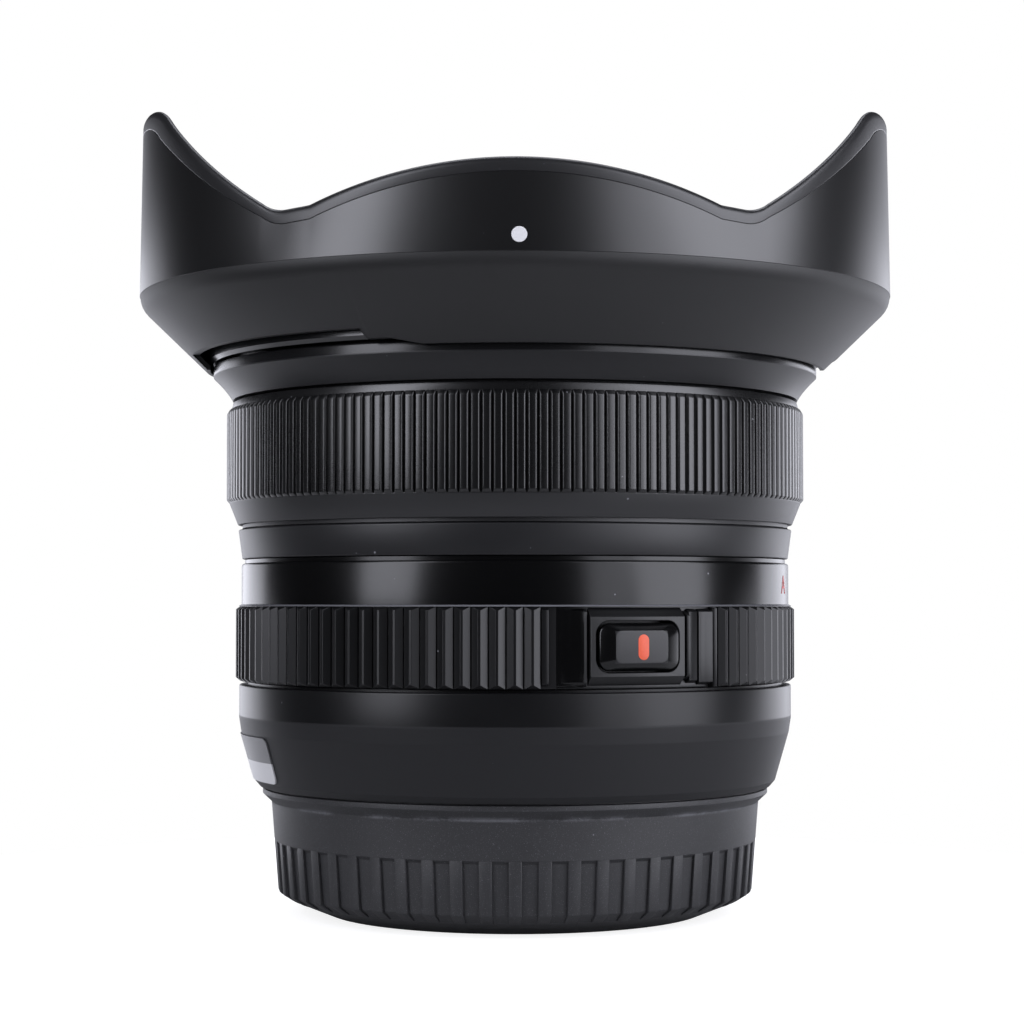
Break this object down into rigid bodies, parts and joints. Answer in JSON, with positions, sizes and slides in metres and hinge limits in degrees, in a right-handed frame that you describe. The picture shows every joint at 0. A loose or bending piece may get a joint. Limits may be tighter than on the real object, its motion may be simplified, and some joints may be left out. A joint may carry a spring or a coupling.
{
  "type": "wide-angle prime lens",
  "caption": "Wide-angle prime lens with a petal hood, ribbed focus and aperture rings, a lock button, a bayonet mount and a deep rear cap.",
  "frame": {"origin": "centre of the mount's flange face, on the optical axis", "axes": "+Z along the optical axis towards the front of the lens, -Y towards the side with the lock button, +X to the right of that side"},
  "size_m": [0.0852, 0.0852, 0.0886],
  "materials": {
    "black_polycarbonate": "fine moulded grain, satin on the hood's wall",
    "satin_black_metal": "black anodised, satin",
    "label_white": "flat printed plate, grey above and white below",
    "black_plastic": "matt",
    "button_black": "satin moulded",
    "button_orange": "filled mark",
    "bayonet_chrome": "plated and turned",
    "screw_steel": "plain",
    "gilt_contact": "polished",
    "plain_brass": "turned",
    "inner_aluminium": "black anodised, matt",
    "blade_black": "matt lacquer",
    "board_green": "solder mask",
    "coated_glass": "polished, anti-reflection coated"
  },
  "bodies": {
    "barrel": {"rear_barrel": "satin_black_metal", "label_plate": "label_white", "inner_barrel": "inner_aluminium", "detent_ball": "screw_steel", "detent_spring": "screw_steel", "middle_band": "satin_black_metal", "front_barrel": "satin_black_metal", "barrel_screws": "screw_steel", "front_trim_ring": "black_plastic", "front_cell": "inner_aluminium", "element_1": "coated_glass", "element_2": "coated_glass", "element_3": "coated_glass", "element_4": "coated_glass", "front_retainer": "inner_aluminium", "second_retainer": "inner_aluminium", "iris_base": "inner_aluminium", "iris_cover": "inner_aluminium", "iris_motor": "screw_steel", "guide_frame": "inner_aluminium", "guide_rods": "screw_steel", "focus_motor": "screw_steel", "rear_cell": "inner_aluminium", "element_9": "coated_glass", "element_10": "coated_glass", "element_11": "coated_glass", "rear_retainer": "inner_aluminium", "circuit_board": "board_green", "rear_baffle": "black_plastic", "contact_block": "black_plastic", "contact_pins": "gilt_contact", "mount_flange": "bayonet_chrome", "mount_screws": "screw_steel"},
    "aperture_ring": {"aperture_ring": "satin_black_metal", "lock_button_spring": "screw_steel"},
    "lock_button": {"lock_button": "button_black", "lock_button_mark": "button_orange"},
    "focus_ring": {"focus_ring": "satin_black_metal"},
    "hood": {"hood_shell": "black_polycarbonate", "hood_liner": "black_polycarbonate"},
    "rear_cap": {"rear_cap": "black_polycarbonate"},
    "focus_cell": {"focus_cell": "inner_aluminium", "element_5": "coated_glass", "element_6": "coated_glass", "element_7": "coated_glass", "element_8": "coated_glass", "focus_retainer": "inner_aluminium", "focus_nut": "plain_brass"},
    "lead_screw": {"lead_screw": "screw_steel"},
    "iris_drive_ring": {"iris_drive_ring": "inner_aluminium"},
    "iris_pinion": {"iris_pinion": "plain_brass"},
    "iris_blade_1": {"iris_blade_1": "blade_black"},
    "iris_blade_2": {"iris_blade_2": "blade_black"},
    "iris_blade_3": {"iris_blade_3": "blade_black"},
    "iris_blade_4": {"iris_blade_4": "blade_black"},
    "iris_blade_5": {"iris_blade_5": "blade_black"},
    "iris_blade_6": {"iris_blade_6": "blade_black"},
    "iris_blade_7": {"iris_blade_7": "blade_black"}
  },
  "joints": [
    {"name": "focus_turn", "type": "hinge", "parent": "barrel", "child": "focus_ring", "pos_m": [0, 0, 0.036], "axis": [0, 0, 1], "continuous": true},
    {"name": "aperture_turn", "type": "hinge", "parent": "barrel", "child": "aperture_ring", "pos_m": [0, 0, 0.018], "axis": [0, 0, 1], "range_deg": [-60, 17.5]},
    {"name": "button_press", "type": "slide", "parent": "aperture_ring", "child": "lock_button", "axis": [-0.4019, 0.9157, 0], "range_m": [0, 0.0007], "stiffness_N_per_m": 500, "springref_m": -0.0006, "deforming": ["lock_button_spring"]},
    {"name": "hood_turn", "type": "hinge", "parent": "barrel", "child": "hood", "pos_m": [0, 0, 0.05], "axis": [0, 0, 1], "range_deg": [0, 55]},
    {"name": "cap_turn", "type": "hinge", "parent": "barrel", "child": "rear_cap", "pos_m": [0, 0, -0.002], "axis": [0, 0, -1], "range_deg": [0, 60]},
    {"name": "focus_slide", "type": "slide", "parent": "barrel", "child": "focus_cell", "axis": [0, 0, 1], "range_m": [-0.0015, 0.0015]},
    {"name": "screw_spin", "type": "hinge", "parent": "barrel", "child": "lead_screw", "pos_m": [0.0205, 0, 0.017], "axis": [0, 0, 1], "range_deg": [-676, 676]},
    {"name": "iris_drive", "type": "hinge", "parent": "barrel", "child": "iris_drive_ring", "pos_m": [0, 0, 0.0244], "axis": [0, 0, 1], "range_deg": [0, 6.35]},
    {"name": "pinion_spin", "type": "hinge", "parent": "barrel", "child": "iris_pinion", "pos_m": [-0.01344, 0.01344, 0.0244], "axis": [0, 0, 1], "range_deg": [-42, 0]},
    {"name": "blade_1_swing", "type": "hinge", "parent": "barrel", "child": "iris_blade_1", "pos_m": [0.0095, 0, 0.023], "axis": [0, 0, 1], "range_deg": [0, 34.05]},
    {"name": "blade_2_swing", "type": "hinge", "parent": "barrel", "child": "iris_blade_2", "pos_m": [0.00592, 0.00743, 0.023], "axis": [0, 0, 1], "range_deg": [0, 34.05]},
    {"name": "blade_3_swing", "type": "hinge", "parent": "barrel", "child": "iris_blade_3", "pos_m": [-0.00211, 0.00926, 0.023], "axis": [0, 0, 1], "range_deg": [0, 34.05]},
    {"name": "blade_4_swing", "type": "hinge", "parent": "barrel", "child": "iris_blade_4", "pos_m": [-0.00856, 0.00412, 0.023], "axis": [0, 0, 1], "range_deg": [0, 34.05]},
    {"name": "blade_5_swing", "type": "hinge", "parent": "barrel", "child": "iris_blade_5", "pos_m": [-0.00856, -0.00412, 0.023], "axis": [0, 0, 1], "range_deg": [0, 34.05]},
    {"name": "blade_6_swing", "type": "hinge", "parent": "barrel", "child": "iris_blade_6", "pos_m": [-0.00211, -0.00926, 0.023], "axis": [0, 0, 1], "range_deg": [0, 34.05]},
    {"name": "blade_7_swing", "type": "hinge", "parent": "barrel", "child": "iris_blade_7", "pos_m": [0.00592, -0.00743, 0.023], "axis": [0, 0, 1], "range_deg": [0, 34.05]}
  ],
  "couplings": [
    {"joint": "screw_spin", "follows": "focus_slide", "rad_per_m": -7854},
    {"joint": "pinion_spin", "follows": "iris_drive", "ratio": -6.6},
    {"joint": "blade_1_swing", "follows": "iris_drive", "ratio": 5.3582},
    {"joint": "blade_2_swing", "follows": "iris_drive", "ratio": 5.3582},
    {"joint": "blade_3_swing", "follows": "iris_drive", "ratio": 5.3582},
    {"joint": "blade_4_swing", "follows": "iris_drive", "ratio": 5.3582},
    {"joint": "blade_5_swing", "follows": "iris_drive", "ratio": 5.3582},
    {"joint": "blade_6_swing", "follows": "iris_drive", "ratio": 5.3582},
    {"joint": "blade_7_swing", "follows": "iris_drive", "ratio": 5.3582}
  ]
}
